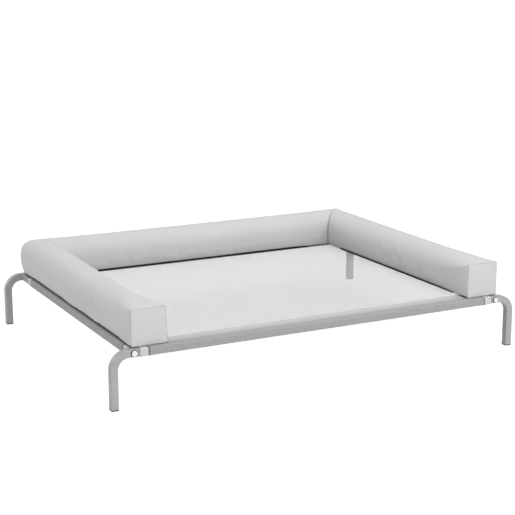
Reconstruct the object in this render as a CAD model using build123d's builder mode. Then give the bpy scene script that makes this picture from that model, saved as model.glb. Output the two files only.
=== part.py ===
from build123d import *
import os

# A raised pet bed: a bolted frame of square steel tube, a mesh sheet stretched between four fabric
# sleeves that the rails run through, and a three-sided bolster that lies on the sheet's edge.
# +X runs along the bed's length, +Y points to the back and +Z up. The origin is on the floor,
# under the middle of the frame. Every size is in millimetres.

# Steel tube
tube = 20.0  # outer width
tube_wall = 1.5
tube_round = 2.0  # radius of the long edges
bore = tube - 2 * tube_wall
bore_round = tube_round - tube_wall

# Frame layout, measured to the tubes' axes
leg_x = 615.0
rail_y = 442.5
rail_z = 145.0
side_rail_x = 561.0
bend_radius = 40.0
leg_end_x = 547.0  # inner end of a leg's level stretch
long_rail_end_x = 546.0
side_rail_end_y = rail_y - tube / 2

# Foot plugs
foot_flange = 3.0
foot_chamfer = 0.6
foot_stem = 16.0
foot_slip = 0.1  # play between a plug and the tube's bore

# Joiners, which carry each long rail into its legs
joiner_start_x = 500.0
joiner_end_x = 573.0
joiner_slip = 0.1
joiner_wall = 2.0

# Corner bolts, washers and threaded plugs
bolt_d = 8.0
bolt_length = 46.0
bolt_hole_d = 8.6
head_d = 15.5
head_height = 3.0
head_round = 0.8
socket_flats = 6.0
socket_depth = 2.0
washer_d = 19.4
washer_thickness = 1.0
plug_length = 30.0
plug_slip = 0.1
thread_d = 8.1

# Collars that close the ends of the sleeves
collar_wall = 1.2
collar_slip = 0.1
collar_length = 22.0
collar_inset = 1.0  # how far a long rail's end stands out of its collar
side_collar_length = 26.0
side_collar_front_y = -418.0  # middle of the collar on a side rail's front end
side_collar_back_y = 358.0

# Fabric sleeves and the hem that joins each to the sheet
sleeve_thickness = 1.0
sleeve_slip = 0.1
sleeve_half_length = 521.0
side_sleeve_front_y = -402.0
side_sleeve_back_y = 341.0
hem_depth = 40.0
hem_half_length = 509.0
sleeve_inner = tube + 2 * sleeve_slip
sleeve_outer = sleeve_inner + 2 * sleeve_thickness
sleeve_top_z = rail_z + sleeve_outer / 2
hem_under_z = sleeve_top_z - sleeve_thickness

# Mesh sheet
sheet_thickness = 1.0
sheet_half_x = side_rail_x - sleeve_outer / 2
sheet_half_y = rail_y - sleeve_outer / 2

# Hook-and-loop strips between the sheet and the bolster
strip_width = 30.0
strip_thickness = 1.2
strip_gap = 0.3
strip_x = 490.0
strip_y = 367.0
side_strip_front_y = -360.0
side_strip_back_y = 280.0
back_strip_half_length = 400.0

# Bolster
bolster_outer_x = 565.0
bolster_front_y = -440.0
bolster_back_y = 442.0
bolster_width = 98.0
bolster_height = 100.0
bolster_round = 16.0
bolster_z = hem_under_z + 2 * strip_thickness + strip_gap
cover_thickness = 1.5
foam_gap = 0.2
foam_inset = cover_thickness + foam_gap

SIDES = {"left": -1, "right": 1}
ENDS = {"front": -1, "back": 1}


def save(piece, node):
    """Labels a finished piece and writes it under its node's name."""
    piece.part.label = node
    export_step(piece.part, f"parts/{node}.step")


def square_ring(outer, outer_round, inner, inner_round):
    """Draws the cross section of a square tube."""
    RectangleRounded(outer, outer, outer_round)
    RectangleRounded(inner, inner, inner_round, mode=Mode.SUBTRACT)


def tube_section():
    """Draws the cross section of the frame's tube."""
    square_ring(tube, tube_round, bore, bore_round)


def plane_along_x(x, y, z):
    """Plane across a piece that runs along X."""
    return Plane(origin=(x, y, z), x_dir=(0, 1, 0), z_dir=(1, 0, 0))


def plane_along_y(x, y, z):
    """Plane across a piece that runs along Y."""
    return Plane(origin=(x, y, z), x_dir=(1, 0, 0), z_dir=(0, 1, 0))


def bolt_plane(side, end, distance):
    """Plane across a corner bolt, facing out of the frame, at a distance from the middle along Y."""
    return Plane(origin=(side * side_rail_x, end * distance, rail_z), z_dir=(0, end, 0))


def drill_bolt_hole(side, end):
    """Drills a corner bolt's clearance hole through both walls of the tube on a long rail's line."""
    with Locations(bolt_plane(side, end, rail_y + tube / 2)):
        Hole(radius=bolt_hole_d / 2, depth=tube)


def long_rail(end):
    """Tube along X, between the two legs of one long side."""
    with BuildPart() as rail:
        with BuildSketch(plane_along_x(0, end * rail_y, rail_z)):
            tube_section()
        extrude(amount=long_rail_end_x, both=True)
    return rail


def side_rail(side):
    """Tube along Y, which butts against the front and the back leg."""
    with BuildPart() as rail:
        with BuildSketch(plane_along_y(side * side_rail_x, 0, rail_z)):
            tube_section()
        extrude(amount=side_rail_end_y, both=True)
    return rail


def leg(side, end):
    """Tube that runs level out of the long rail, turns down through one bend and ends at its plug."""
    with BuildPart() as bent_tube:
        with BuildLine(Plane.XZ.offset(-end * rail_y)) as path:
            FilletPolyline(
                (side * leg_end_x, rail_z),
                (side * leg_x, rail_z),
                (side * leg_x, foot_flange),
                radius=bend_radius,
            )
        with BuildSketch(Plane(path.line ^ 0)):
            tube_section()
        sweep()
        drill_bolt_hole(side, end)
    return bent_tube


def foot_plug(side, end):
    """Plug with a flange as wide as the tube, which the bed stands on, and a stem inside the leg."""
    with BuildPart() as plug:
        with BuildSketch(Plane(origin=(side * leg_x, end * rail_y, 0))):
            RectangleRounded(tube, tube, tube_round)
        extrude(amount=foot_flange)
        chamfer(plug.faces().sort_by(Axis.Z)[0].edges(), length=foot_chamfer)
        with BuildSketch(Plane(origin=(side * leg_x, end * rail_y, foot_flange))):
            RectangleRounded(bore - 2 * foot_slip, bore - 2 * foot_slip, bore_round)
        extrude(amount=foot_stem)
    return plug


def joiner(side, end):
    """Smaller tube inside the ends of a long rail and its leg, held by the corner bolt."""
    outer = bore - 2 * joiner_slip
    with BuildPart() as inner_tube:
        with BuildSketch(plane_along_x(side * joiner_start_x, end * rail_y, rail_z)):
            square_ring(outer, tube_round, outer - 2 * joiner_wall, bore_round)
        extrude(amount=side * (joiner_end_x - joiner_start_x))
        drill_bolt_hole(side, end)
    return inner_tube


def threaded_plug(side, end):
    """Block fixed in a side rail's end, with the thread that the corner bolt screws into."""
    with BuildPart() as plug:
        with BuildSketch(bolt_plane(side, end, side_rail_end_y)):
            RectangleRounded(bore - 2 * plug_slip, bore - 2 * plug_slip, bore_round)
            Circle(thread_d / 2, mode=Mode.SUBTRACT)
        extrude(amount=-plug_length)
    return plug


def washer(side, end):
    """Flat washer between a corner bolt's head and the leg."""
    with BuildPart() as ring:
        with BuildSketch(bolt_plane(side, end, rail_y + tube / 2)):
            Circle(washer_d / 2)
            Circle(bolt_hole_d / 2, mode=Mode.SUBTRACT)
        extrude(amount=washer_thickness)
    return ring


def bolt(side, end):
    """Corner bolt with a low round head and a hexagon socket."""
    seat = bolt_plane(side, end, rail_y + tube / 2 + washer_thickness)
    outward = Axis((0, 0, 0), (0, end, 0))
    with BuildPart() as screw:
        with BuildSketch(seat):
            Circle(head_d / 2)
        extrude(amount=head_height)
        fillet(screw.faces().sort_by(outward)[-1].edges(), radius=head_round)
        with BuildSketch(seat.offset(head_height)):
            RegularPolygon(socket_flats / 2, 6, major_radius=False)
        extrude(amount=-socket_depth, mode=Mode.SUBTRACT)
        with BuildSketch(seat):
            Circle(bolt_d / 2)
        extrude(amount=-bolt_length)
    return screw


def collar(plane, length):
    """Plastic ring around a rail, centred on the plane."""
    inner = tube + 2 * collar_slip
    with BuildPart() as ring:
        with BuildSketch(plane):
            square_ring(inner + 2 * collar_wall, tube_round + collar_wall, inner, tube_round)
        extrude(amount=length / 2, both=True)
    return ring


def sleeve_section():
    """Draws the cross section of the fabric around a rail."""
    square_ring(sleeve_outer, tube_round + sleeve_thickness, sleeve_inner, tube_round)


def long_sleeve(end):
    """Fabric around a long rail, with a hem that lies on the sheet's edge."""
    outer_y = end * rail_y
    inner_y = end * (sheet_half_y - hem_depth)
    with BuildPart() as sleeve:
        with BuildSketch(plane_along_x(0, end * rail_y, rail_z)):
            sleeve_section()
        extrude(amount=sleeve_half_length, both=True)
        with BuildSketch(Plane(origin=(0, (outer_y + inner_y) / 2, hem_under_z))):
            Rectangle(2 * hem_half_length, abs(outer_y - inner_y))
        extrude(amount=sleeve_thickness)
    return sleeve


def side_sleeve(side):
    """Fabric around a side rail, with a hem that lies on the sheet's edge."""
    outer_x = side * side_rail_x
    inner_x = side * (sheet_half_x - hem_depth)
    length = side_sleeve_back_y - side_sleeve_front_y
    middle_y = (side_sleeve_back_y + side_sleeve_front_y) / 2
    with BuildPart() as sleeve:
        with BuildSketch(plane_along_y(side * side_rail_x, side_sleeve_front_y, rail_z)):
            sleeve_section()
        extrude(amount=length)
        with BuildSketch(Plane(origin=((outer_x + inner_x) / 2, middle_y, hem_under_z))):
            Rectangle(abs(outer_x - inner_x), length)
        extrude(amount=sleeve_thickness)
    return sleeve


def mesh_sheet():
    """Flat sheet between the sleeves, with its corners cut off between the sleeves' ends."""
    right_half = [
        (sleeve_half_length, -sheet_half_y),
        (sheet_half_x, side_sleeve_front_y),
        (sheet_half_x, side_sleeve_back_y),
        (sleeve_half_length, sheet_half_y),
    ]
    left_half = [(-x, y) for x, y in reversed(right_half)]
    with BuildPart() as sheet:
        with BuildSketch(Plane.XY.offset(hem_under_z - sheet_thickness)):
            with BuildLine():
                Polyline(*right_half, *left_half, close=True)
            make_face()
        extrude(amount=sheet_thickness)
    return sheet


def strip(place, base_z):
    """Flat strip under one side of the bolster; its underside is at base_z."""
    side_length = side_strip_back_y - side_strip_front_y
    if place == "back":
        middle = (0, strip_y)
        size = (2 * back_strip_half_length, strip_width)
    else:
        middle = (SIDES[place] * strip_x, (side_strip_back_y + side_strip_front_y) / 2)
        size = (strip_width, side_length)
    with BuildPart() as tape:
        with BuildSketch(Plane(origin=(*middle, base_z))):
            Rectangle(*size)
        extrude(amount=strip_thickness)
    return tape


def mitre_plane(side):
    """Upright plane across a back corner of the bolster, facing the arm on that side."""
    return Plane(origin=(side * bolster_outer_x, bolster_back_y, 0), z_dir=(side, -1, 0))


def bolster_arm_plane(side, y):
    """Plane across a side arm of the bolster, centred on its cross section."""
    middle_x = side * (bolster_outer_x - bolster_width / 2)
    return plane_along_y(middle_x, y, bolster_z + bolster_height / 2)


def bolster_section(inset, mode=Mode.ADD):
    """Draws the bolster's cross section, drawn in from its outer surface by inset."""
    width = bolster_width - 2 * inset
    height = bolster_height - 2 * inset
    RectangleRounded(width, height, bolster_round - inset, mode=mode)


def arm_cover(side):
    """Fabric tube of a side arm, mitred at the back and open at both ends."""
    front = bolster_front_y + cover_thickness
    with BuildPart() as cover:
        with BuildSketch(bolster_arm_plane(side, front)):
            bolster_section(0)
            bolster_section(cover_thickness, Mode.SUBTRACT)
        extrude(amount=bolster_back_y - front)
        split(bisect_by=mitre_plane(side), keep=Keep.TOP)
    return cover


def arm_foam(side):
    """Foam block inside a side arm."""
    front = bolster_front_y + foam_inset
    with BuildPart() as foam:
        with BuildSketch(bolster_arm_plane(side, front)):
            bolster_section(foam_inset)
        extrude(amount=bolster_back_y - front)
        split(bisect_by=mitre_plane(side).offset(foam_gap), keep=Keep.TOP)
    return foam


def back_run_plane():
    """Plane across the back of the bolster, at its left end."""
    middle_y = bolster_back_y - bolster_width / 2
    return plane_along_x(-bolster_outer_x, middle_y, bolster_z + bolster_height / 2)


def back_cover():
    """Fabric tube of the back, mitred and open at both ends."""
    with BuildPart() as cover:
        with BuildSketch(back_run_plane()):
            bolster_section(0)
            bolster_section(cover_thickness, Mode.SUBTRACT)
        extrude(amount=2 * bolster_outer_x)
        for side in SIDES.values():
            split(bisect_by=mitre_plane(side), keep=Keep.BOTTOM)
    return cover


def back_foam():
    """Foam block inside the back."""
    with BuildPart() as foam:
        with BuildSketch(back_run_plane()):
            bolster_section(foam_inset)
        extrude(amount=2 * bolster_outer_x)
        for side in SIDES.values():
            split(bisect_by=mitre_plane(side).offset(-foam_gap), keep=Keep.BOTTOM)
    return foam


def end_panel(side):
    """Panel that closes the front end of a side arm."""
    with BuildPart() as panel:
        with BuildSketch(bolster_arm_plane(side, bolster_front_y)):
            bolster_section(0)
        extrude(amount=cover_thickness)
    return panel


def build_corner(side_name, end_name):
    """Writes the pieces of one corner of the frame."""
    side = SIDES[side_name]
    end = ENDS[end_name]
    corner = f"{end_name}_{side_name}"
    collar_x = side * (long_rail_end_x - collar_inset - collar_length / 2)
    side_collar_y = side_collar_front_y if end < 0 else side_collar_back_y
    save(leg(side, end), f"leg_{corner}")
    save(foot_plug(side, end), f"foot_plug_{corner}")
    save(joiner(side, end), f"joiner_{corner}")
    save(threaded_plug(side, end), f"threaded_plug_{corner}")
    save(washer(side, end), f"washer_{corner}")
    save(bolt(side, end), f"bolt_{corner}")
    save(collar(plane_along_x(collar_x, end * rail_y, rail_z), collar_length), f"collar_long_{corner}")
    save(
        collar(plane_along_y(side * side_rail_x, side_collar_y, rail_z), side_collar_length),
        f"collar_side_{corner}",
    )


def build_frame():
    """Writes the rails and the four corners."""
    for end_name, end in ENDS.items():
        save(long_rail(end), f"rail_{end_name}")
    for side_name, side in SIDES.items():
        save(side_rail(side), f"rail_{side_name}")
        for end_name in ENDS:
            build_corner(side_name, end_name)


def build_sling():
    """Writes the sheet, its sleeves and the strips sewn on it."""
    save(mesh_sheet(), "mesh_sheet")
    for end_name, end in ENDS.items():
        save(long_sleeve(end), f"sleeve_{end_name}")
    for side_name, side in SIDES.items():
        save(side_sleeve(side), f"sleeve_{side_name}")
    for place in (*SIDES, "back"):
        save(strip(place, hem_under_z), f"loop_strip_{place}")


def build_bolster():
    """Writes the bolster's cover, foam and hook strips."""
    save(back_cover(), "bolster_cover_back")
    save(back_foam(), "bolster_foam_back")
    for side_name, side in SIDES.items():
        save(arm_cover(side), f"bolster_cover_{side_name}")
        save(arm_foam(side), f"bolster_foam_{side_name}")
        save(end_panel(side), f"bolster_end_{side_name}")
    for place in (*SIDES, "back"):
        save(strip(place, bolster_z - strip_thickness), f"hook_strip_{place}")


os.makedirs("parts", exist_ok=True)
build_frame()
build_sling()
build_bolster()
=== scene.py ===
import math

import bpy
import numpy as np
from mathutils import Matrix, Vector, noise


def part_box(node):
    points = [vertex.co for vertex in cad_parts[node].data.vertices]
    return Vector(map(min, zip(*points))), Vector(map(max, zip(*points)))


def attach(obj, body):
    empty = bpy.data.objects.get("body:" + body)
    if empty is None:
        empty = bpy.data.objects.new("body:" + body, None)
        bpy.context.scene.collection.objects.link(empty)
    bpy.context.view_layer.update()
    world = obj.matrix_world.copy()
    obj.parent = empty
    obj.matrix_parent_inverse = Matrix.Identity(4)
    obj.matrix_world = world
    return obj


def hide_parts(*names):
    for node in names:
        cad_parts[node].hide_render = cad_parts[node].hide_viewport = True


# The looks of a raised pet bed. The steel frame, its collars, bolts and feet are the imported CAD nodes
# with finished materials. The bolster, the mesh sheet and the four sleeves are soft pieces built here
# in place of their plain solids. Every size is in metres.

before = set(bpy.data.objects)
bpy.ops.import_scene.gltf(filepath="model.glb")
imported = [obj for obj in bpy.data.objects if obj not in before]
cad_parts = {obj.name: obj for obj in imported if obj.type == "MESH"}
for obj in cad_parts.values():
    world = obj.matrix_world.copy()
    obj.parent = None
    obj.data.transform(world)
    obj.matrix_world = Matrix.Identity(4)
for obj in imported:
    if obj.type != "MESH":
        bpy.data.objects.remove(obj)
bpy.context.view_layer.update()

SIDES = {"left": -1, "right": 1}
ENDS = {"front": -1, "back": 1}

# Bolster
run_step = 0.008  # distance between cross sections
seam_steps = (0.0, 0.0008, 0.0016, 0.0026, 0.004, 0.0065, 0.0105, 0.016)  # closer together by a seam
panel_round = 0.003  # corners of the square end panels
outer_round = 0.027  # long top edges away from the end panels, outside
inner_round = 0.048  # and inside
outer_base_round = 0.005  # long bottom edges, outside
inner_base_round = 0.016  # and inside
panel_drop = 0.0022  # the panels stand lower than the arms
base_sink = 0.0016  # the base hangs lower on the sleeves, past the ends of the strips
sink_length = 0.03  # from a strip's end to where the base hangs lowest
panel_flare = {"left": 0.005, "right": 0.001}  # how far a panel's inner bottom corner spreads
panel_shift = {"left": 0.0, "right": 0.0052}  # and how far a panel stands out of line
panel_widen = {"left": 0.0, "right": 0.002}
relax_length = 0.24  # from a panel to where an arm has its full round shape
corner_rise = 0.0058  # how far the filling lifts the top at the back corners
run_rise = {"left": 0.0012, "back": 0.0036, "right": 0.0034}  # and at the middle of each run
middle_length = 0.42  # from a back corner to where a run has its middle shape
crown = {"left": 0.0006, "back": 0.0026, "right": 0.0030}  # and more at the middle of its width
side_swell = 0.002  # how far the sides bow out
panel_swell = 0.0025  # and the middle of an end panel
panel_loops = 4  # loops of points on an end panel, between those by its seam and its middle
seam_depth = 0.0011  # how far an end panel's seam pulls the cover in
mitre_depth = {"left": 0.0006, "right": 0.0016}  # and the seam of a back corner
seam_reach = 0.0014  # the pull of a seam fades over this distance
corner_bulge = 0.006  # outer back corners stand out at mid height
corner_reach = 0.09  # the bulge fades over this distance
corner_round = (0.010, 0.028)  # outer back corners seen from above, at mid height and at the top
outer_shade_columns = 11  # faces the dark base cloth, painted contact shade, covers outwards from a section's bottom middle
inner_shade_columns = {"left": 7, "back": 8, "right": 7}  # and inwards, over the strips
panel_shade_reaches = (0.025, 0.04, 0.06, 0.09)  # one face more inside each of these, from a panel
crease_width = 0.007
crease_ridge = 0.45  # height of the ridge beside a crease, as a share of its depth
unevenness = ((0.0007, 9, 1), (0.00025, 31, 2))  # depth, waves in a metre and seed of each noise
uneven_height = 0.02  # from the base, where the unevenness reaches its full depth

# Cloth simulation of the bolster's cover
cloth_frames = 18
cloth_pressure = 2.5
cloth_slack = 0.004
cloth_cap = 0.003  # the furthest that a point may move
sewn_reach = 0.003  # cloth nearer than this to a seam doesn't move
base_reach = 0.001  # nor does cloth nearer than this to the base

# Mesh sheet
sheet_step = 0.010
sheet_sag = 0.005
sag_start = 0.09  # the sheet is flat this near to its edges, under the bolster's strips
sag_length = 0.34  # from there to where it hangs lowest

# Sleeves
fabric_thickness = 0.001
sleeve_step = 0.007  # along a rail
path_step = 0.0024  # and across it
sleeve_round = 0.0032
hem_round = 0.0012
round_step = math.radians(18)
hem_blend = 0.0024  # over which the loose sleeve becomes the flat hem
under_hem_inset = 0.001  # the hem under the sheet is this much narrower
wrinkles = (  # height, waves in a metre, seed and how much of them runs up and down
    (0.00022, 22, 3, 1.0),
    (0.00012, 75, 4, 0.4),
)
end_gather = 0.0003  # more cloth at a sleeve's ends
gather_length = 0.012
stitch_length = 0.0034
stitch_pitch = 0.0046
stitch_radius = 0.00032
stitch_sides = 6
stitch_profile = (  # share of a stitch's length, thickness and rise, both in radii
    (0.0, 0.5, -0.6),
    (0.2, 1.0, 0.35),
    (0.5, 1.1, 0.6),
    (0.8, 1.0, 0.35),
    (1.0, 0.5, -0.6),
)
stitch_skew = 0.0001  # every other stitch slants this much
stitch_edge = 0.0032  # from a hem's inner edge to its first stitch row
stitch_middle = 0.0195  # and to its second
stitch_margin = 0.004  # from a hem's ends to the first and last stitch
stitch_groove = 0.0003
groove_width = 0.0016
outer_hem_tone = 0.62  # share of the hem's pale colour outside the second stitch row
end_shade_width = 0.0022  # width of the painted shade line at a sleeve's end, for the shade in the gap by its collar

# Camera and light
camera_azimuth = math.radians(-27.37)
camera_elevation = math.radians(13.34)
camera_distance = 3.957
camera_target = Vector((0.0214, 0.0, 0.234))
camera_lens = 92.64
world_light = 0.62
floor_reach = 40.0
floor_gap = 0.0005  # from the floor that is seen down to the floor that bounces light


def smooth_rise(value):
    """0 to 1 with a soft start and end."""
    t = np.clip(value, 0, 1)
    return t * t * (3 - 2 * t)


def mix(low, high, share):
    return low + (high - low) * share


def new_object(name, points, faces, uvs=None):
    """A smooth-shaded mesh object; uvs is one metric (u, v) pair for each face corner."""
    mesh = bpy.data.meshes.new(name)
    mesh.from_pydata(np.asarray(points, float).tolist(), [], [list(f) for f in faces])
    if uvs is not None:
        layer = mesh.uv_layers.new(name="weave")
        layer.data.foreach_set("uv", np.asarray(uvs, np.float32).ravel())
    mesh.shade_smooth()
    mesh.validate()
    piece = bpy.data.objects.new(name, mesh)
    bpy.context.scene.collection.objects.link(piece)
    return piece


def vectors(mesh, kind="co"):
    """A mesh's points, or with kind="normal" their normals."""
    flat = np.empty(len(mesh.vertices) * 3, np.float32)
    mesh.vertices.foreach_get(kind, flat)
    return flat.reshape(-1, 3).astype(float)


def set_points(mesh, points):
    mesh.vertices.foreach_set("co", np.asarray(points, np.float32).ravel())
    mesh.update()


def set_values(mesh, name, values):
    """A number at each point that a material reads by this name."""
    attribute = mesh.attributes.new(name, "FLOAT", "POINT")
    attribute.data.foreach_set("value", np.asarray(values, np.float32))


def soft_noise(points, scale, seed):
    """Smooth noise from -1 to 1 at each point, the same in every run."""
    offset = Vector((seed * 17.3, seed * 5.1, seed * 9.7))
    return np.array([noise.noise(Vector(p) * scale + offset) for p in points])


def grid_faces(index, u, v, flip=False):
    """Quads and their UVs over a grid of vertex numbers; u and v are the grid's coordinates."""
    faces, uvs = [], []
    for i in range(index.shape[0] - 1):
        for j in range(index.shape[1] - 1):
            corners = [(i, j), (i, j + 1), (i + 1, j + 1), (i + 1, j)]
            if flip:
                corners.reverse()
            faces.append([int(index[c]) for c in corners])
            uvs.extend((u[c], v[c]) for c in corners)
    return faces, uvs


# ---------------------------------------------------------------- bolster


def section_loop(width, height, outside, inside, outer_base, inner_base):
    """Points round a cross section, across and up from its bottom middle, as many for every size."""
    half = width / 2
    arcs = (  # middle of each rounded corner across and up, its radius, first angle and steps
        (half - outer_base, outer_base, outer_base, -90, 5),
        (half - outside, height - outside, outside, 0, 7),
        (inside - half, height - inside, inside, 90, 7),
        (inner_base - half, inner_base, inner_base, 180, 5),
    )
    straight_steps = (6, 9, 9, 9, 6)
    points = [np.array((0.0, 0.0))]
    for (across, up, radius, start, arc_steps), steps in zip(arcs, straight_steps):
        turns = np.radians(np.linspace(start, start + 90, arc_steps + 1))
        arc = np.stack([across + radius * np.cos(turns), up + radius * np.sin(turns)], 1)
        shares = np.linspace(0, 1, steps + 1)[1:-1, None]
        points.extend(mix(points[-1], arc[0], shares))
        points.extend(arc)
    shares = np.linspace(0, 1, straight_steps[-1] + 1)[1:-1, None]
    points.extend(mix(points[-1], points[0], shares))
    return np.array(points)


def stations(length):
    """Distances along a run of the bolster, closer together by the seams at its ends."""
    near = np.array(seam_steps)
    middle = np.linspace(near[-1], length - near[-1], round(length / run_step))
    return np.concatenate([near[:-1], middle, length - near[-2::-1]])


def fit_stations(distance, reference, length):
    """Stations of a reference run on a line of another length, unchanged next to the seams."""
    edge = seam_steps[-1]
    middle = edge + (distance - edge) * (length - 2 * edge) / (reference - 2 * edge)
    from_end = distance + length - reference
    return np.where(distance < edge, distance, np.where(distance > reference - edge, from_end, middle))


def seam_pull(distance, depth):
    return depth * math.exp(-distance / seam_reach)


class Bolster:
    """Sizes of the bolster, read from its CAD nodes."""

    def __init__(self):
        left_low, left_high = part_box("bolster_cover_left")
        end_low, end_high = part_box("bolster_end_left")
        self.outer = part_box("bolster_cover_right")[1].x
        self.front = end_low.y
        self.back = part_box("bolster_cover_back")[1].y
        self.base = left_low.z
        self.width = end_high.x - end_low.x
        self.height = left_high.z - left_low.z
        self.half = self.width / 2
        self.arm_run = self.back - self.front - self.half
        self.back_run = 2 * self.outer - self.width
        self.strips = {}
        for run, axis in (("left", 1), ("back", 0), ("right", 1)):
            strip_low, strip_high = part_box(f"hook_strip_{run}")
            self.strips[run] = (strip_low[axis], strip_high[axis])

    def off_strip(self, run, position):
        """0 over a run's hook strip, 1 past its ends, where the base hangs lower."""
        low, high = self.strips[run]
        return smooth_rise(max(low - position, position - high) / sink_length)

    def shade_columns(self, run, position, to_panel):
        """Faces from a section's bottom middle to the inner edge of the dark base cloth, painted contact
        shade.
        """
        fewest = min(inner_shade_columns.values())
        near_panel = sum(to_panel < reach for reach in panel_shade_reaches)
        off_strip = round(float(self.off_strip(run, position)))
        return max(inner_shade_columns[run], fewest + near_panel, fewest + off_strip)

    def arm_section(self, side, distance, to_mitre):
        """Cross section of an arm: square at the end panel and rounder away from it."""
        relax = math.sin(math.pi / 2 * min(1.0, distance / relax_length))
        middle = float(smooth_rise(to_mitre / middle_length)) * relax
        section = self.swollen(side, self.front + distance, relax, middle)
        stiff = 1 - relax
        share = np.clip(section[:, 1] / self.height, 0, 1)
        inner = np.clip(-section[:, 0] / self.half, 0, 1)
        section[:, 0] *= 1 + stiff * panel_widen[side] / self.half
        section[:, 0] += stiff * (panel_shift[side] - panel_flare[side] * inner * (1 - share) ** 1.5)
        return section

    def swollen(self, run, position, relax, middle):
        """Cross section away from a panel, filled out by its foam."""
        height = self.height - panel_drop * (1 - relax)
        loop = section_loop(
            self.width,
            height,
            mix(panel_round, outer_round, relax),
            mix(panel_round, inner_round, relax),
            mix(panel_round, outer_base_round, relax),
            mix(panel_round, inner_base_round, relax),
        )
        across, up = loop[:, 0], loop[:, 1]
        share = up / height
        flatness = 1 - (across / self.half) ** 2
        rise = relax * mix(corner_rise, run_rise[run], middle)
        rise = (rise + crown[run] * middle * np.clip(flatness, 0, 1)) * smooth_rise(share)
        swell = side_swell * (0.4 + 0.6 * middle) * relax * np.sin(np.pi * share)
        sink = base_sink * self.off_strip(run, position) * (1 - share)
        return np.stack([across + swell * across / self.half, up + rise - sink], 1)


def pulled_in(section, depth):
    """A cross section drawn in towards its middle."""
    centre = section.mean(0)
    reach = np.abs(section - centre).max()
    return centre + (section - centre) * (1 - depth / reach)


def arm_ring(shape, side, distance):
    """Cross section of an arm, in its place."""
    to_mitre = shape.arm_run - distance
    section = shape.arm_section(side, distance, to_mitre)
    depth = seam_pull(distance, seam_depth) + seam_pull(to_mitre, mitre_depth[side])
    section = pulled_in(section, depth)
    length = shape.arm_run + section[:, 0]
    x = SIDES[side] * (shape.outer - shape.half + section[:, 0])
    y = shape.front + fit_stations(distance, shape.arm_run, length)
    return np.stack([x, y, shape.base + section[:, 1]], 1)


def back_ring(shape, distance):
    """Cross section of the back, in its place."""
    to_end = shape.back_run - distance
    middle = float(smooth_rise(min(distance, to_end) / middle_length))
    section = shape.swollen("back", distance - shape.back_run / 2, 1.0, middle)
    depth = seam_pull(distance, mitre_depth["left"]) + seam_pull(to_end, mitre_depth["right"])
    section = pulled_in(section, depth)
    length = shape.back_run + 2 * section[:, 0]
    start = -(shape.outer - shape.half + section[:, 0])
    x = start + fit_stations(distance, shape.back_run, length)
    y = shape.back - shape.half + section[:, 0]
    return np.stack([x, y, shape.base + section[:, 1]], 1)


def bolster_rings(shape):
    """Cross sections along the left arm, the back and the right arm.

    With each come its place along them, its distance to a seam and how far its dark base, painted
    contact shade, reaches.
    """
    arm = stations(shape.arm_run)
    rows = []
    for distance in arm:
        ring = arm_ring(shape, "left", distance)
        to_seam = min(distance, shape.arm_run - distance)
        dark = shape.shade_columns("left", shape.front + distance, distance)
        rows.append((ring, distance, to_seam, dark))
    for distance in stations(shape.back_run)[1:-1]:
        ring = back_ring(shape, distance)
        to_seam = min(distance, shape.back_run - distance)
        dark = shape.shade_columns("back", distance - shape.back_run / 2, math.inf)
        rows.append((ring, shape.arm_run + distance, to_seam, dark))
    for distance in arm[::-1]:
        ring = arm_ring(shape, "right", distance)
        to_seam = min(distance, shape.arm_run - distance)
        dark = shape.shade_columns("right", shape.front + distance, distance)
        rows.append((ring, 2 * shape.arm_run + shape.back_run - distance, to_seam, dark))
    return zip(*rows)


def panel_rings(shape, seam_ring):
    """Smaller and smaller loops from an end panel's seam to its middle, bulging slightly."""
    centre = seam_ring.mean(0)
    reach = np.abs(seam_ring - centre).max()
    steps = list(seam_steps[1:]) + list(np.linspace(seam_steps[-1], reach, panel_loops + 2)[1:-1])
    rings = []
    for distance in steps:
        ring = centre + (seam_ring - centre) * (1 - distance / reach)
        inside = 1 - (1 - distance / reach) ** 2
        ring[:, 1] = shape.front - panel_swell * inside
        ring[:, 1] += seam_pull(distance, seam_depth)
        rings.append(ring)
    middle = centre.copy()
    middle[1] = shape.front - panel_swell
    return rings, steps, middle


def round_outer_corner(points, shape, side):
    """Swells an outer back corner and rounds it as seen from above, most at its top and bottom."""
    share = np.clip((points[:, 2] - shape.base) / shape.height, 0, 1)
    away = np.hypot(side * points[:, 0] - shape.outer, points[:, 1] - shape.back)
    bulge = corner_bulge * np.exp(-((away / corner_reach) ** 2)) * np.sin(np.pi * share) ** 0.4
    radius = mix(*corner_round, np.abs(2 * share - 1) ** 1.5)
    dx = side * points[:, 0] - (shape.outer - radius)
    dy = points[:, 1] - (shape.back - radius)
    inside = (dx > 0) & (dy > 0)
    length = np.hypot(dx, dy)
    squeeze = np.where(inside, np.maximum(dx, dy) / np.maximum(length, 1e-9), 1.0)
    points[:, 0] = np.where(inside, side * (shape.outer - radius + dx * squeeze), points[:, 0])
    points[:, 1] = np.where(inside, shape.back - radius + dy * squeeze, points[:, 1])
    points[:, 0] += side * bulge
    points[:, 1] += bulge


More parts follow.
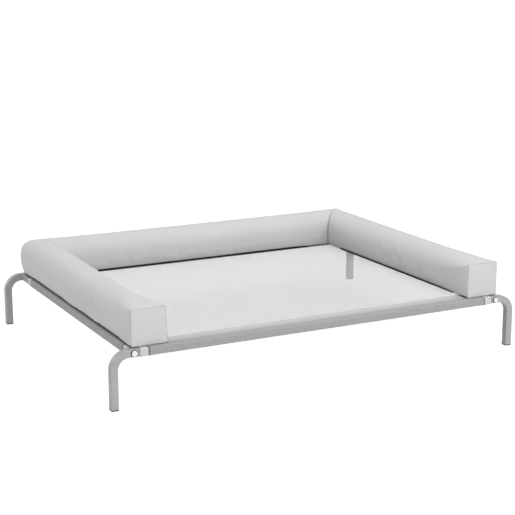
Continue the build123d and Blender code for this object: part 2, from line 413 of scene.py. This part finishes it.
def bolster_mesh(shape):
    """One closed U-shaped skin with its two end panels, and each point's distance to a seam."""
    rings, along, sewn, dark = bolster_rings(shape)
    count = len(rings[0])
    middle_ring = rings[len(rings) // 2]
    closed_ring = np.concatenate([middle_ring, middle_ring[:1]])
    around = np.concatenate([[0], np.cumsum(np.linalg.norm(np.diff(closed_ring, axis=0), axis=1))])
    rings[0][:, 1] += seam_depth
    rings[-1][:, 1] += seam_depth
    points = np.concatenate(rings)
    near = np.repeat(sewn, count)
    index = np.arange(len(points)).reshape(len(rings), count)
    index = np.concatenate([index, index[:, :1]], 1)
    u = np.repeat(np.array(along)[:, None], count + 1, 1)
    v = np.repeat(around[None, :], len(rings), 0)
    faces, uvs = grid_faces(index, u, v)
    column = np.tile(np.arange(count), len(rings) - 1)
    # painted shade: faces near the bottom get the dark base cloth, for the contact shadow under the
    # bolster
    base = (column < outer_shade_columns) | (column >= count - np.repeat(dark[:-1], count))
    for ring, first, flip in ((rings[0], 0, True), (rings[-1], (len(rings) - 1) * count, False)):
        inner, steps, middle = panel_rings(shape, ring)
        start = len(points)
        points = np.concatenate([points, *inner, middle[None]])
        near = np.concatenate([near, np.repeat(steps, count), [shape.half]])
        loops = [np.arange(first, first + count)]
        loops += [start + count * i + np.arange(count) for i in range(len(inner))]
        index = np.array([np.append(loop, loop[0]) for loop in loops])
        more, more_uvs = grid_faces(index, points[index][:, :, 0], points[index][:, :, 2], flip)
        faces += more
        uvs += more_uvs
        last = len(points) - 1
        for a, b in zip(index[-1][:-1], index[-1][1:]):
            fan = [int(a), int(b), last] if not flip else [int(b), int(a), last]
            faces.append(fan)
            uvs += [(points[i][0], points[i][2]) for i in fan]
    for side in SIDES.values():
        round_outer_corner(points, shape, side)
    piece = new_object("bolster_cushion", points, faces, uvs)
    parts = np.zeros(len(faces), np.int32)
    parts[: len(base)] = base
    piece.data.polygons.foreach_set("material_index", parts)
    return piece, near


def puff_up(piece, held):
    """Blows the sewn cover up against its seams and keeps the result, capped, in the mesh."""
    rest = vectors(piece.data)
    group = piece.vertex_groups.new(name="sewn")
    for i, weight in enumerate(held):
        if weight > 0:
            group.add([i], float(weight), "REPLACE")
    cloth = piece.modifiers.new("puff", "CLOTH")
    settings = cloth.settings
    settings.quality = 6
    settings.mass = 0.25
    settings.tension_stiffness = 25
    settings.compression_stiffness = 25
    settings.shear_stiffness = 8
    settings.bending_stiffness = 0.6
    settings.use_pressure = True
    settings.uniform_pressure_force = cloth_pressure
    settings.shrink_min = -cloth_slack
    settings.effector_weights.gravity = 0
    settings.vertex_group_mass = group.name
    cloth.collision_settings.use_collision = False
    cloth.point_cache.frame_start = 1
    cloth.point_cache.frame_end = cloth_frames
    for step in range(1, cloth_frames + 1):
        bpy.context.scene.frame_set(step)
    evaluated = piece.evaluated_get(bpy.context.evaluated_depsgraph_get())
    shift = vectors(evaluated.data) - rest
    piece.modifiers.remove(cloth)
    piece.vertex_groups.remove(group)
    bpy.context.scene.frame_set(1)
    length = np.maximum(np.linalg.norm(shift, axis=1, keepdims=True), 1e-9)
    set_points(piece.data, rest + shift * cloth_cap * np.tanh(length / cloth_cap) / length)


def subdivide(piece):
    """Applies one level of subdivision."""
    modifier = piece.modifiers.new("smooth", "SUBSURF")
    modifier.levels = 1
    modifier.render_levels = 1
    evaluated = piece.evaluated_get(bpy.context.evaluated_depsgraph_get())
    finer = bpy.data.meshes.new_from_object(evaluated)
    piece.modifiers.remove(modifier)
    piece.data = finer


def press_crease(points, directions, start, end, depth):
    """Presses a soft valley with a low ridge above it into the cloth, from start to end."""
    start, end = np.array(start), np.array(end)
    run = end - start
    share = np.clip((points - start) @ run / (run @ run), 0, 1)
    away = points - (start + share[:, None] * run)
    distance = np.linalg.norm(away, axis=1)
    fade = np.sin(np.pi * np.clip(share, 0.02, 0.98)) ** 0.7
    valley = np.exp(-((distance / crease_width) ** 2))
    from_ridge = (distance - 2 * crease_width) / crease_width
    ridge = crease_ridge * np.exp(-(from_ridge**2)) * (away[:, 2] > 0)
    return points + directions * (depth * fade * (ridge - valley))[:, None]


def add_creases(piece, shape):
    """Pull lines where the cover is drawn towards its back corners, and a faint unevenness."""
    points = vectors(piece.data)
    directions = vectors(piece.data, "normal")
    inner = shape.outer - shape.width
    base, height = shape.base, shape.height
    creases = (  # side, distance from the front and share of the height at each end, depth
        ("right", 0.42, 0.86, 0.31, 0.18, 0.0018),
        ("right", 0.50, 0.74, 0.36, 0.10, 0.0013),
        ("right", 0.68, 0.64, 0.59, 0.16, 0.0012),
        ("right", 0.26, 0.52, 0.21, 0.16, 0.0008),
        ("left", 0.52, 0.62, 0.38, 0.10, 0.0014),
        ("left", 0.66, 0.64, 0.56, 0.20, 0.0011),
    )
    for side, from_front, from_share, to_front, to_share, depth in creases:
        x = SIDES[side] * inner
        start = (x, shape.front + from_front, base + from_share * height)
        end = (x, shape.front + to_front, base + to_share * height)
        points = press_crease(points, directions, start, end, depth)
    lift = np.clip((points[:, 2] - base) / uneven_height, 0, 1)
    uneven = sum(depth * soft_noise(points, scale, seed) for depth, scale, seed in unevenness)
    set_points(piece.data, points + directions * (uneven * lift)[:, None])


def build_bolster():
    shape = Bolster()
    piece, near = bolster_mesh(shape)
    # falloff from the seams, which the cloth reads for its painted seam shade
    set_values(piece.data, "seam", np.exp(-((near / seam_reach) ** 2)))
    base_held = vectors(piece.data)[:, 2] < shape.base + base_reach
    puff_up(piece, np.where(base_held | (near < sewn_reach), 1.0, 0.0))
    subdivide(piece)
    add_creases(piece, shape)
    covers = ["bolster_cover_left", "bolster_cover_back", "bolster_cover_right"]
    ends = ["bolster_end_left", "bolster_end_right"]
    foams = ["bolster_foam_left", "bolster_foam_back", "bolster_foam_right"]
    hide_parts(*covers, *ends, *foams)
    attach(piece, "bolster")
    return piece


# ---------------------------------------------------------------- mesh sheet


def sheet_half_width(y):
    """Half the sheet's width at y: its corners are cut off between the sleeves' ends."""
    low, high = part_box("mesh_sheet")
    corner_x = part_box("sleeve_front")[1].x
    side_low, side_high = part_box("sleeve_left")
    front = np.clip((side_low.y - y) / (side_low.y - low.y), 0, 1)
    back = np.clip((y - side_high.y) / (high.y - side_high.y), 0, 1)
    return mix(high.x, corner_x, np.maximum(front, back))


def sheet_drop(x, y):
    """How far the sheet hangs below its edges."""
    low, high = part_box("mesh_sheet")
    from_side = smooth_rise((high.x - np.abs(x) - sag_start) / sag_length)
    from_end = smooth_rise((np.minimum(y - low.y, high.y - y) - sag_start) / sag_length)
    return sheet_sag * from_side * from_end


def build_sheet():
    low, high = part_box("mesh_sheet")
    rows = np.linspace(low.y, high.y, round((high.y - low.y) / sheet_step) + 1)
    columns = np.linspace(-1, 1, round((high.x - low.x) / sheet_step) + 1)
    y, share = np.meshgrid(rows, columns, indexing="ij")
    x = share * sheet_half_width(y)
    drop = sheet_drop(x, y)
    top = np.stack([x, y, high.z - drop], -1).reshape(-1, 3)
    under = np.stack([x, y, low.z - drop], -1).reshape(-1, 3)
    points = np.concatenate([top, under])
    index = np.arange(x.size).reshape(x.shape)
    faces, uvs = grid_faces(index, x, y)
    below = index + x.size
    more, more_uvs = grid_faces(below, x, y, flip=True)
    faces += more
    uvs += more_uvs
    rim = np.concatenate([index[0], index[1:, -1], index[-1, -2::-1], index[-2:0:-1, 0]])
    for a, b in zip(rim, np.roll(rim, -1)):
        rim_face = [int(b), int(a), int(a) + x.size, int(b) + x.size]
        faces.append(rim_face)
        uvs += [(points[i][0], points[i][1]) for i in rim_face]
    piece = new_object("sling_mesh", points, faces, uvs)
    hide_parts("mesh_sheet")
    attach(piece, "frame")
    return piece


# ---------------------------------------------------------------- sleeves


def rounded_path(corners, step):
    """Points every step along straight runs, with an arc at each corner (across, up, radius)."""
    spots = [np.array(c[:2]) for c in corners]
    path = [spots[0]]
    for before, here, after, corner in zip(spots, spots[1:], spots[2:], corners[1:]):
        radius = corner[2]
        arriving = (here - before) / np.linalg.norm(here - before)
        leaving = (after - here) / np.linalg.norm(after - here)
        turn = math.atan2(np.cross(arriving, leaving), arriving @ leaving)
        back_off = radius * math.tan(abs(turn) / 2)
        start = here - arriving * back_off
        path.extend(straight_points(path[-1], start, step))
        inward = np.array((-arriving[1], arriving[0])) * math.copysign(1, turn)
        centre = start + inward * radius
        arc_steps = max(3, round(abs(turn) / round_step))
        for share in np.linspace(0, 1, arc_steps + 1)[1:]:
            angle = turn * share
            spoke = start - centre
            c, s = math.cos(angle), math.sin(angle)
            path.append(centre + np.array((c * spoke[0] - s * spoke[1], s * spoke[0] + c * spoke[1])))
    path.extend(straight_points(path[-1], spots[-1], step))
    return np.array(path)


def straight_points(start, end, step):
    """Points after start, up to and with end."""
    count = max(1, round(np.linalg.norm(end - start) / step))
    return [mix(start, end, i / count) for i in range(1, count + 1)]


def path_normals(path):
    """Unit normals to the right of a path."""
    run = np.gradient(path, axis=0)
    run /= np.linalg.norm(run, axis=1, keepdims=True)
    return np.stack([run[:, 1], -run[:, 0]], 1)


class Edge:
    """One side of the sling: its rail, its sleeve and which way its hem points."""

    def __init__(self, name):
        self.name = name
        self.along_x = name in ENDS
        rail_low, rail_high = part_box(f"rail_{name}")
        sleeve_low, sleeve_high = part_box(f"sleeve_{name}")
        sheet_low, sheet_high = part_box("mesh_sheet")
        middle = (rail_low + rail_high) / 2
        across = 1 if self.along_x else 0
        run = 1 - across
        self.outward = math.copysign(1, middle[across])
        self.rail = middle[across]
        self.axis_z = middle.z
        self.start, self.end = sleeve_low[run], sleeve_high[run]
        self.top = sleeve_high.z - self.axis_z
        inner = sleeve_low[across] if self.outward > 0 else sleeve_high[across]
        self.hem_reach = abs(inner - self.rail)
        self.sheet_under = sheet_low.z - self.axis_z
        free = sheet_high.x - (self.hem_reach - self.top)
        self.hem_share = free / self.end if self.along_x else 1.0

    def place(self, along, across, up):
        """World points from a distance along the rail, one inward across it and one up from its axis."""
        along, across, up = np.broadcast_arrays(along, across, up)
        side = self.rail - self.outward * across
        height = self.axis_z + up
        parts = (along, side, height) if self.along_x else (side, along, height)
        return np.stack(parts, -1)


def sleeve_path(edge):
    """Middle line of the cloth: over the sheet's edge, round the rail and back under the sheet."""
    half = fabric_thickness / 2
    wrap = edge.top - half
    under = edge.sheet_under - half
    return rounded_path(
        (
            (edge.hem_reach, wrap, 0),
            (-wrap, wrap, sleeve_round),
            (-wrap, -wrap, sleeve_round),
            (wrap, -wrap, sleeve_round),
            (wrap, under, hem_round),
            (edge.hem_reach - under_hem_inset, under, 0),
        ),
        path_step,
    )


def wrinkled(flat):
    """How far loose cloth stands up at each point of a grid."""
    lift = 0
    for height, scale, seed, upright in wrinkles:
        waves = soft_noise((flat * np.array((1, 1, upright))).reshape(-1, 3), scale, seed)
        lift = lift + height * (1 + waves.reshape(flat.shape[:2]))
    return lift


def build_sleeve(name):
    edge = Edge(name)
    path = sleeve_path(edge)
    outward = path_normals(path)
    count = round((edge.end - edge.start) / sleeve_step)
    along = np.linspace(edge.start, edge.end, count + 1)
    near_end = end_shade_width * np.array((0.5, 1.3))  # inside and just past the painted shade line
    along = np.sort(np.concatenate([along, edge.start + near_end, edge.end - near_end]))
    in_hem = smooth_rise((path[:, 0] - edge.top) / hem_blend)
    on_top = (path[:, 1] > 0) & (in_hem > 0)
    centre = (edge.start + edge.end) / 2
    s = centre + (along[:, None] - centre) * mix(1.0, edge.hem_share, in_hem)[None, :]
    to_end = np.minimum(along - edge.start, edge.end - along)
    gather = np.exp(-to_end / gather_length)
    flat = edge.place(s, path[None, :, 0], path[None, :, 1])
    loose = (wrinkled(flat) + end_gather * gather[:, None]) * (1 - in_hem)[None, :]
    pressed = np.zeros(len(path))
    for row in (stitch_edge, stitch_middle):
        reach = edge.hem_reach - row
        pressed += stitch_groove * np.exp(-(((path[:, 0] - reach) / groove_width) ** 2)) * on_top
    lift = loose - pressed[None, :]
    sides = []
    for offset in (fabric_thickness / 2, -fabric_thickness / 2):
        across = path[None, :, 0] + outward[None, :, 0] * (offset + lift)
        up = path[None, :, 1] + outward[None, :, 1] * (offset + lift)
        sides.append(edge.place(s, across, up))
    length = np.concatenate([[0], np.cumsum(np.linalg.norm(np.diff(path, axis=0), axis=1))])
    v = np.repeat(length[None, :], len(along), 0)
    shape = s.shape
    points = np.reshape(sides, (-1, 3))
    outer = np.arange(s.size).reshape(shape)
    inner = outer + s.size
    turned = (edge.outward > 0) == edge.along_x
    faces, uvs = grid_faces(outer, s, v, flip=turned)
    more, more_uvs = grid_faces(inner, s, v, flip=not turned)
    faces += more
    uvs += more_uvs
    rim = [(i, 0) for i in range(shape[0])]
    rim += [(shape[0] - 1, j) for j in range(1, shape[1])]
    rim += [(i, shape[1] - 1) for i in range(shape[0] - 2, -1, -1)]
    rim += [(0, j) for j in range(shape[1] - 2, 0, -1)]
    for a, b in zip(rim, rim[1:] + rim[:1]):
        quad = [int(outer[a]), int(outer[b]), int(inner[b]), int(inner[a])]
        corners = [a, b, b, a]
        if turned:
            quad.reverse()
            corners.reverse()
        faces.append(quad)
        uvs += [(s[c], v[c]) for c in corners]
    piece = new_object(f"fabric_sleeve_{name}", points, faces, uvs)
    past_second_row = path[:, 0] > edge.hem_reach - stitch_middle
    paleness = in_hem * mix(outer_hem_tone, 1.0, past_second_row)
    set_values(piece.data, "band", np.tile(paleness, 2 * shape[0]))
    # painted shade: a dark line at each end of the sleeve, for the shade in the gap by its collar
    painted_end_shade = to_end < end_shade_width
    set_values(piece.data, "painted_end_shade", np.tile(np.repeat(painted_end_shade, len(path)), 2))
    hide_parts(f"sleeve_{name}")
    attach(piece, "frame")
    return piece, edge, (edge.end - edge.start, float(length[-1]))


def stitch_points(start, end):
    """Points of one stitch, a thread that rises out of the cloth and goes back in."""
    run = end - start
    forward = run / np.linalg.norm(run)
    side = np.cross(forward, (0, 0, 1))
    points = []
    for share, thick, rise in stitch_profile:
        centre = start + run * share + np.array((0, 0, rise * stitch_radius))
        for turn in range(stitch_sides):
            angle = math.tau * turn / stitch_sides
            spoke = side * math.cos(angle) + np.array((0, 0, 1)) * math.sin(angle)
            points.append(centre + spoke * stitch_radius * thick)
    return points


def build_stitching(edge):
    """Two rows of stitches along a hem, as real thread."""
    points, faces = [], []
    middle = (edge.start + edge.end) / 2
    half = (edge.end - edge.start) / 2 * edge.hem_share - stitch_margin
    top = edge.top - stitch_groove
    ring_starts = range(0, stitch_sides * len(stitch_profile), stitch_sides)
    for row in (stitch_edge, stitch_middle):
        across = edge.hem_reach - row
        count = int(2 * half / stitch_pitch)
        for i in range(count):
            from_start = middle - half + i * stitch_pitch
            start = edge.place(from_start, across, top)
            end = edge.place(from_start + stitch_length, across + stitch_skew * (-1) ** i, top)
            first = len(points)
            points.extend(stitch_points(start, end))
            for ring in ring_starts[:-1]:
                for turn in range(stitch_sides):
                    a = first + ring + turn
                    b = first + ring + (turn + 1) % stitch_sides
                    faces.append((a, a + stitch_sides, b + stitch_sides, b))
            faces.append(tuple(first + turn for turn in range(stitch_sides)))
            last = first + ring_starts[-1]
            faces.append(tuple(last + turn for turn in reversed(range(stitch_sides))))
    piece = new_object(f"stitching_{edge.name}", points, faces)
    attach(piece, "frame")
    return piece


# ---------------------------------------------------------------- materials


class Finish:
    """A material under construction, with short names for the nodes that all of them use."""

    def __init__(self, name, roughness, metallic=0.0, sheen=0.0, specular=0.5):
        self.material = bpy.data.materials.new(name)
        self.material.use_nodes = True
        self.tree = self.material.node_tree
        self.shader = self.tree.nodes["Principled BSDF"]
        self.shader.inputs["Roughness"].default_value = roughness
        self.shader.inputs["Metallic"].default_value = metallic
        self.shader.inputs["Sheen Weight"].default_value = sheen
        self.shader.inputs["Sheen Roughness"].default_value = 0.6
        self.shader.inputs["Specular IOR Level"].default_value = specular

    def add(self, kind, **settings):
        node = self.tree.nodes.new(kind)
        for name, value in settings.items():
            setattr(node, name, value)
        return node

    def link(self, source, target):
        self.tree.links.new(source, target)

    def place(self):
        """Position on the object, in metres."""
        return self.add("ShaderNodeTexCoord").outputs["Object"]

    def weave_place(self):
        """Position on the cloth, in metres, from its own UV map."""
        return self.add("ShaderNodeUVMap", uv_map="weave").outputs["UV"]

    def math(self, operation, first, second=0.0):
        node = self.add("ShaderNodeMath", operation=operation)
        for socket, value in zip(node.inputs, (first, second)):
            if isinstance(value, (int, float)):
                socket.default_value = value
            else:
                self.link(value, socket)
        return node.outputs[0]

    def noise(self, place, scale, detail):
        node = self.add("ShaderNodeTexNoise")
        node.inputs["Scale"].default_value = scale
        node.inputs["Detail"].default_value = detail
        self.link(place, node.inputs["Vector"])
        return node.outputs["Fac"]

    def ramp(self, value, low, high, start=0.0, end=1.0):
        """A grey or coloured ramp from low to high."""
        node = self.add("ShaderNodeValToRGB")
        for stop, position, tone in zip(node.color_ramp.elements, (start, end), (low, high)):
            stop.position = position
            stop.color = (*tone, 1) if isinstance(tone, tuple) else (tone, tone, tone, 1)
        self.link(value, node.inputs["Fac"])
        return node.outputs["Color"]

    def blend(self, share, first, second, kind="MIX"):
        node = self.add("ShaderNodeMix", data_type="RGBA", blend_type=kind)
        if isinstance(share, float):
            node.inputs["Factor"].default_value = share
        else:
            self.link(share, node.inputs["Factor"])
        self.link(first, node.inputs[6])
        self.link(second, node.inputs[7])
        return node.outputs[2]

    def weave(self, place, pitch):
        """Plain weave as a height: threads a pitch apart that pass over and under each other."""
        split = self.add("ShaderNodeSeparateXYZ")
        self.link(place, split.inputs[0])
        across = self.math("SINE", self.math("MULTIPLY", split.outputs["X"], math.pi / pitch))
        down = self.math("SINE", self.math("MULTIPLY", split.outputs["Y"], math.pi / pitch))
        return self.math("ABSOLUTE", self.math("MULTIPLY", across, down))

    def bump(self, height, distance, strength):
        node = self.add("ShaderNodeBump")
        node.inputs["Distance"].default_value = distance
        node.inputs["Strength"].default_value = strength
        self.link(height, node.inputs["Height"])
        self.link(node.outputs["Normal"], self.shader.inputs["Normal"])

    def colour(self, source):
        self.link(source, self.shader.inputs["Base Color"])

    def roughness(self, value, low, high):
        node = self.add("ShaderNodeMapRange")
        node.inputs["To Min"].default_value = low
        node.inputs["To Max"].default_value = high
        self.link(value, node.inputs["Value"])
        self.link(node.outputs[0], self.shader.inputs["Roughness"])


def powder_coat():
    """Silver-grey powder coat: fine grain, orange peel and a few duller patches."""
    finish = Finish("powder_coat", 0.42, specular=0.45)
    place = finish.place()
    grain = finish.noise(place, 1400, 1.0)
    patches = finish.noise(place, 14, 3.0)
    base = finish.ramp(grain, 0.32, 0.44, 0.3, 0.7)
    finish.colour(finish.blend(0.35, base, finish.ramp(patches, 0.34, 0.44, 0.3, 0.7)))
    finish.roughness(patches, 0.34, 0.52)
    finish.bump(finish.noise(place, 520, 2.0), 0.0002, 0.6)
    return finish.material


def moulded_plastic(name, low, high, roughness):
    """Moulded plastic with a fine spark-eroded texture."""
    finish = Finish(name, roughness)
    place = finish.place()
    finish.colour(finish.ramp(finish.noise(place, 90, 3.0), low, high, 0.3, 0.7))
    finish.roughness(finish.noise(place, 260, 2.0), roughness - 0.08, roughness + 0.1)
    finish.bump(finish.noise(place, 1800, 1.0), 0.00008, 0.5)
    return finish.material


def plated_steel(name, low, high, roughness):
    """Zinc-plated steel, brushed and slightly cloudy."""
    finish = Finish(name, roughness, metallic=1.0)
    place = finish.place()
    finish.colour(finish.ramp(finish.noise(place, 240, 3.0), low, high, 0.3, 0.7))
    finish.roughness(finish.noise(place, 900, 2.0), roughness - 0.06, roughness + 0.12)
    finish.bump(finish.noise(place, 2600, 1.0), 0.00004, 0.5)
    return finish.material


def bolster_cloth():
    """Tight plain weave with a soft sheen, and painted shade that darkens it down in the seams."""
    finish = Finish("bolster_cloth", 0.86, sheen=0.12, specular=0.25)
    place = finish.weave_place()
    threads = finish.weave(place, pitch=0.00085)
    fibres = finish.noise(place, 2400, 2.0)
    shade = finish.noise(finish.place(), 7, 3.0)
    base = finish.ramp(threads, 0.545, 0.635)
    base = finish.blend(0.4, base, finish.ramp(fibres, 0.52, 0.68, 0.25, 0.75))
    base = finish.blend(0.3, base, finish.ramp(shade, 0.56, 0.64, 0.3, 0.7))
    # painted shade: the cloth is darkened near its seams, where shade falls into them
    seam = finish.add("ShaderNodeAttribute", attribute_name="seam").outputs["Fac"]
    uneven = finish.ramp(finish.noise(finish.place(), 160, 2.0), 0.3, 1.0, 0.3, 0.65)
    painted_seam_shade = finish.math("MULTIPLY", seam, uneven)
    finish.colour(finish.blend(1.0, base, finish.ramp(painted_seam_shade, 1.0, 0.5, 0.1, 1.0), "MULTIPLY"))
    height = finish.math("ADD", threads, finish.math("MULTIPLY", fibres, 0.5))
    finish.bump(height, 0.00018, 0.7)
    return finish.material


def sleeve_cloth():
    """Heathered canvas; its hem, which lies on the pale sheet, looks lighter."""
    finish = Finish("sleeve_cloth", 0.88, sheen=0.08, specular=0.2)
    place = finish.weave_place()
    threads = finish.weave(place, pitch=0.0011)
    stretched = finish.add("ShaderNodeMapping")
    stretched.inputs["Scale"].default_value = (1.0, 2.2, 1.0)
    finish.link(place, stretched.inputs["Vector"])
    fleck = finish.noise(stretched.outputs[0], 360, 3.0)
    cloud = finish.noise(place, 210, 2.0)
    canvas = finish.ramp(fleck, 0.18, 0.58, 0.38, 0.64)
    canvas = finish.blend(0.4, canvas, finish.ramp(cloud, 0.23, 0.51, 0.38, 0.62))
    canvas = finish.blend(0.3, canvas, finish.ramp(threads, 0.29, 0.41))
    hem = finish.ramp(fleck, 0.50, 0.62, 0.3, 0.7)
    band = finish.add("ShaderNodeAttribute", attribute_name="band").outputs["Fac"]
    painted_end_shade = finish.add("ShaderNodeAttribute", attribute_name="painted_end_shade").outputs["Fac"]
    colour = finish.blend(band, canvas, hem)
    # painted shade: the sleeve's ends are darkened for the shade in the gap by each collar
    finish.colour(finish.blend(1.0, colour, finish.ramp(painted_end_shade, 1.0, 0.4), "MULTIPLY"))
    height = finish.math("ADD", threads, finish.math("MULTIPLY", fleck, 0.8))
    finish.bump(height, 0.00025, 0.8)
    return finish.material


def thread():
    finish = Finish("thread", 0.7, specular=0.3)
    place = finish.place()
    finish.colour(finish.ramp(finish.noise(place, 1600, 2.0), 0.30, 0.44, 0.3, 0.7))
    finish.bump(finish.noise(place, 3000, 1.0), 0.0001, 0.6)
    return finish.material


def mesh_cloth():
    """Open mesh of coated yarn. The holes are in the top face alone, so the sheet isn't doubled."""
    finish = Finish("mesh_cloth", 0.55, specular=0.35)
    yarn_pitch = 0.0021
    yarn_share = 0.39  # of the pitch that a yarn covers
    place = finish.weave_place()
    split = finish.add("ShaderNodeSeparateXYZ")
    finish.link(place, split.inputs[0])
    waves = []
    for axis in ("X", "Y"):
        turn = finish.math("MULTIPLY", split.outputs[axis], math.pi / yarn_pitch)
        waves.append(finish.math("ABSOLUTE", finish.math("SINE", turn)))
    edge_height = math.sin(math.pi * yarn_share / 2)
    open_x = finish.math("GREATER_THAN", waves[0], edge_height)
    open_y = finish.math("GREATER_THAN", waves[1], edge_height)
    hole = finish.math("MULTIPLY", open_x, open_y)
    towards_viewer = finish.add("ShaderNodeNewGeometry").outputs["Normal"]
    from_behind = finish.add("ShaderNodeNewGeometry").outputs["Backfacing"]
    direction = finish.add("ShaderNodeSeparateXYZ")
    finish.link(towards_viewer, direction.inputs[0])
    front_or_back = finish.math("SUBTRACT", 1.0, finish.math("MULTIPLY", from_behind, 2.0))
    up = finish.math("MULTIPLY", direction.outputs["Z"], front_or_back)
    under = finish.math("LESS_THAN", up, -0.5)
    clear = finish.math("MAXIMUM", hole, under)
    finish.link(finish.math("SUBTRACT", 1.0, clear), finish.shader.inputs["Alpha"])
    yarn = finish.math("SUBTRACT", 1.0, finish.math("MINIMUM", waves[0], waves[1]))
    fibres = finish.noise(place, 1900, 2.0)
    base = finish.ramp(yarn, 0.42, 0.55, 0.4, 1.0)
    finish.colour(finish.blend(0.3, base, finish.ramp(fibres, 0.42, 0.58, 0.3, 0.7)))
    finish.bump(yarn, 0.0005, 0.6)
    return finish.material


def fastener_tape():
    """Black hook-and-loop tape: a dense pile."""
    finish = Finish("fastener_tape", 0.95, sheen=0.06, specular=0.1)
    place = finish.place()
    pile = finish.noise(place, 1500, 2.0)
    finish.colour(finish.ramp(pile, 0.012, 0.05, 0.3, 0.7))
    finish.bump(pile, 0.0006, 0.9)
    return finish.material


def shade_base_cloth():
    """Black cloth under the bolster, with small raised dots; it is painted shade for the contact shadow
    along the bolster's bottom edges.
    """
    finish = Finish("shade_base_cloth", 0.8, specular=0.3)
    place = finish.weave_place()
    dots = finish.weave(place, pitch=0.004)
    finish.colour(finish.ramp(finish.noise(place, 1800, 2.0), 0.012, 0.03, 0.3, 0.7))
    finish.bump(finish.ramp(dots, 0.0, 1.0, 0.55, 0.8), 0.0004, 0.8)
    return finish.material


def give(piece, *materials):
    """Materials by the faces' own numbers, which clearing the slots would reset."""
    numbers = np.empty(len(piece.data.polygons), np.int32)
    piece.data.polygons.foreach_get("material_index", numbers)
    piece.data.materials.clear()
    for material in materials:
        piece.data.materials.append(material)
    piece.data.polygons.foreach_set("material_index", numbers)


def finish_cad_nodes():
    """Materials for the CAD nodes, by the start of their names."""
    finishes = {
        "rail_": powder_coat(),
        "foot_plug_": moulded_plastic("foot_plastic", 0.012, 0.03, 0.5),
        "collar_": moulded_plastic("collar_plastic", 0.54, 0.60, 0.42),
        # near-black washer: a real plastic washer whose dark colour also paints the shadow ring round
        # each bolt head
        "washer_": moulded_plastic("washer_plastic", 0.03, 0.06, 0.5),
        "bolt_": plated_steel("bolt_steel", 0.86, 0.97, 0.34),
        "joiner_": plated_steel("joiner_steel", 0.5, 0.62, 0.34),
        "loop_strip_": fastener_tape(),
    }
    finishes["leg_"] = finishes["rail_"]
    finishes["threaded_plug_"] = finishes["joiner_"]
    finishes["hook_strip_"] = finishes["loop_strip_"]
    for name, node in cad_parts.items():
        for start, material in finishes.items():
            if name.startswith(start):
                for slot in node.material_slots:
                    slot.link = "OBJECT"
                    slot.material = material


# ---------------------------------------------------------------- room


def seen_floor():
    """What the camera sees: near-white, with a faint shade under the bed."""
    finish = Finish("seen_floor", 0.9, specular=0.1)
    cloud = finish.noise(finish.place(), 1.5, 2.0)
    finish.colour(finish.ramp(cloud, 0.26, 0.28))
    finish.shader.inputs["Emission Color"].default_value = (1, 1, 1, 1)
    finish.shader.inputs["Emission Strength"].default_value = 0.90
    return finish.material


def bounce_floor():
    """What lights the object from below: a plain pale floor that the bed shades."""
    finish = Finish("bounce_floor", 0.9, specular=0.1)
    cloud = finish.noise(finish.place(), 1.5, 2.0)
    finish.colour(finish.ramp(cloud, 0.72, 0.76))
    return finish.material


def build_floor():
    corners = [(x * floor_reach, y * floor_reach, 0) for x, y in ((-1, -1), (1, -1), (1, 1), (-1, 1))]
    seen = new_object("floor_seen", corners, [(0, 1, 2, 3)])
    give(seen, seen_floor())
    seen.visible_diffuse = False
    seen.visible_glossy = False
    seen.visible_shadow = False
    bounce = new_object("floor_bounce", corners, [(0, 1, 2, 3)])
    bounce.location.z = -floor_gap
    give(bounce, bounce_floor())
    bounce.visible_camera = False


def area_light(name, place, aim, size, power):
    data = bpy.data.lights.new(name, "AREA")
    data.shape = "RECTANGLE"
    data.size, data.size_y = size
    data.energy = power
    lamp = bpy.data.objects.new(name, data)
    lamp.location = place
    lamp.rotation_euler = (Vector(aim) - Vector(place)).to_track_quat("-Z", "Y").to_euler()
    lamp.visible_camera = False
    bpy.context.scene.collection.objects.link(lamp)


def build_light():
    world = bpy.data.worlds.new("studio")
    world.use_nodes = True
    background = world.node_tree.nodes["Background"]
    background.inputs["Color"].default_value = (1, 1, 1, 1)
    background.inputs["Strength"].default_value = world_light
    bpy.context.scene.world = world
    area_light("top_softbox", (0.2, -0.3, 3.2), (0, 0, 0.1), (3.4, 2.6), 46)
    area_light("front_softbox", (1.0, -3.7, 1.3), (0.1, 0, 0.15), (1.8, 1.6), 53)
    area_light("left_strip", (-2.0, -0.9, 0.25), (-0.55, -0.1, 0.15), (1.3, 0.4), 2)
    area_light("back_softbox", (-2.2, 2.6, 1.2), (0, 0, 0.15), (1.8, 1.4), 18)


def build_camera():
    data = bpy.data.cameras.new("camera")
    data.lens = camera_lens
    data.sensor_width = 36.0
    data.clip_end = 120.0
    camera = bpy.data.objects.new("camera", data)
    level = math.cos(camera_elevation)
    back = Vector((
        math.sin(camera_azimuth) * level,
        -math.cos(camera_azimuth) * level,
        math.sin(camera_elevation),
    ))
    camera.location = camera_target + back * camera_distance
    camera.rotation_euler = (-back).to_track_quat("-Z", "Y").to_euler()
    bpy.context.scene.collection.objects.link(camera)
    bpy.context.scene.camera = camera
    bpy.context.scene.view_settings.view_transform = "Standard"


# ---------------------------------------------------------------- build

build_camera()
build_light()
build_floor()
finish_cad_nodes()

cushion = build_bolster()
# the second material is the dark base cloth, painted contact shade under the bolster
give(cushion, bolster_cloth(), shade_base_cloth())

sling = build_sheet()
give(sling, mesh_cloth())

canvas = sleeve_cloth()
yarn = thread()
for name in (*ENDS, *SIDES):
    sleeve, edge, flat = build_sleeve(name)
    give(sleeve, canvas)
    stitching = build_stitching(edge)
    give(stitching, yarn)
